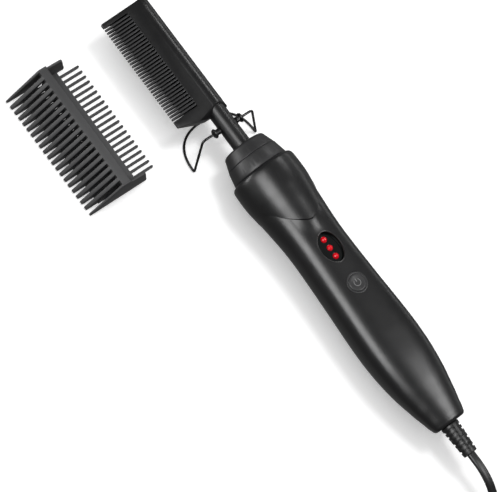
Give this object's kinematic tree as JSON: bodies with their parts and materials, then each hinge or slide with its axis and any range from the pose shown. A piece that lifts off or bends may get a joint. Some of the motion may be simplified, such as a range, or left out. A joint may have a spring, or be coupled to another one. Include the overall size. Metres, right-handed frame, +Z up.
{
  "type": "electric hot comb",
  "caption": "Electric hot comb with a fine-toothed heated blade, folding wire stand, light window, power button and corded handle, with its slip-on comb guard lying beside it.",
  "frame": {"origin": "centre of the bounding box of the comb and its guard, without the free cord, at the table's surface", "axes": "+X runs from the blade to the cord, +Z is up and is the side with the button and lights, the blade's teeth point to -Y and the guard lies on that side"},
  "size_m": [0.4567, 0.1079, 0.0424],
  "materials": {
    "blade_coat": "semi-gloss black ceramic coating on die-cast metal",
    "heater": "white fired ceramic",
    "lead_sleeve": "woven white glass sleeving",
    "tube_black": "gloss black coated steel tube",
    "bush_black": "black plated turned steel",
    "wire_black": "black plated spring wire",
    "collar_black": "gloss black heat-proof moulded plastic",
    "mica": "pressed mica board",
    "shell_black": "satin black moulded plastic with a soft rubber-like coat",
    "screw_steel": "zinc-plated steel",
    "window_black": "dark polished plastic",
    "light_red": "translucent red, lit",
    "bezel_black": "satin black plastic",
    "button_black": "satin black plastic with a pale printed ring and bar",
    "switch_black": "black plastic",
    "plunger_grey": "pale grey plastic",
    "board_green": "green solder mask",
    "part_black": "black moulded epoxy",
    "capacitor_amber": "amber plastic case",
    "fuse_white": "white ceramic",
    "lead_brown": "brown wire insulation",
    "cord_black": "semi-matte black vinyl",
    "clamp_white": "natural nylon",
    "guard_black": "matte charcoal moulded plastic",
    "plug_metal": "nickel-plated brass"
  },
  "bodies": {
    "comb": {"comb_blade": "blade_coat", "heater_core": "heater", "heater_leads": "lead_sleeve", "shank_tube": "tube_black", "pivot_bushes": "bush_black", "collar_front": "collar_black", "heat_shield": "mica", "collar_rear": "collar_black", "handle_upper": "shell_black", "handle_lower": "shell_black", "case_screws": "screw_steel", "status_window": "window_black", "status_lights": "light_red", "button_bezel": "bezel_black", "switch_body": "switch_black", "control_board": "board_green", "board_chip": "part_black", "board_capacitor": "capacitor_amber", "board_triac": "part_black", "board_fuse": "fuse_white", "mains_leads": "lead_brown", "cord_tail": "cord_black", "cord_clamp": "clamp_white", "clamp_screws": "screw_steel", "strain_relief": "cord_black", "cord_run": "cord_black", "cord_coil": "cord_black", "cord_tie": "cord_black", "plug_body": "cord_black", "plug_blades": "plug_metal"},
    "stand": {"stand_wire": "wire_black"},
    "button": {"power_button": "button_black", "switch_plunger": "plunger_grey"},
    "guard": {"comb_guard": "guard_black"}
  },
  "joints": [
    {"name": "stand_hinge", "type": "hinge", "parent": "comb", "child": "stand", "pos_m": [-0.06675, 0.03135, 0.023], "axis": [0, 1, 0], "range_deg": [-74, 38]},
    {"name": "button_press", "type": "slide", "parent": "comb", "child": "button", "axis": [0, 0, -1], "range_m": [0, 0.0004], "stiffness_N_per_m": 1200, "springref_m": -0.0006},
    {"name": "guard_lift", "type": "slide", "parent": "comb", "child": "guard", "axis": [0, 0, 1], "range_m": [0, 0.06]}
  ]
}
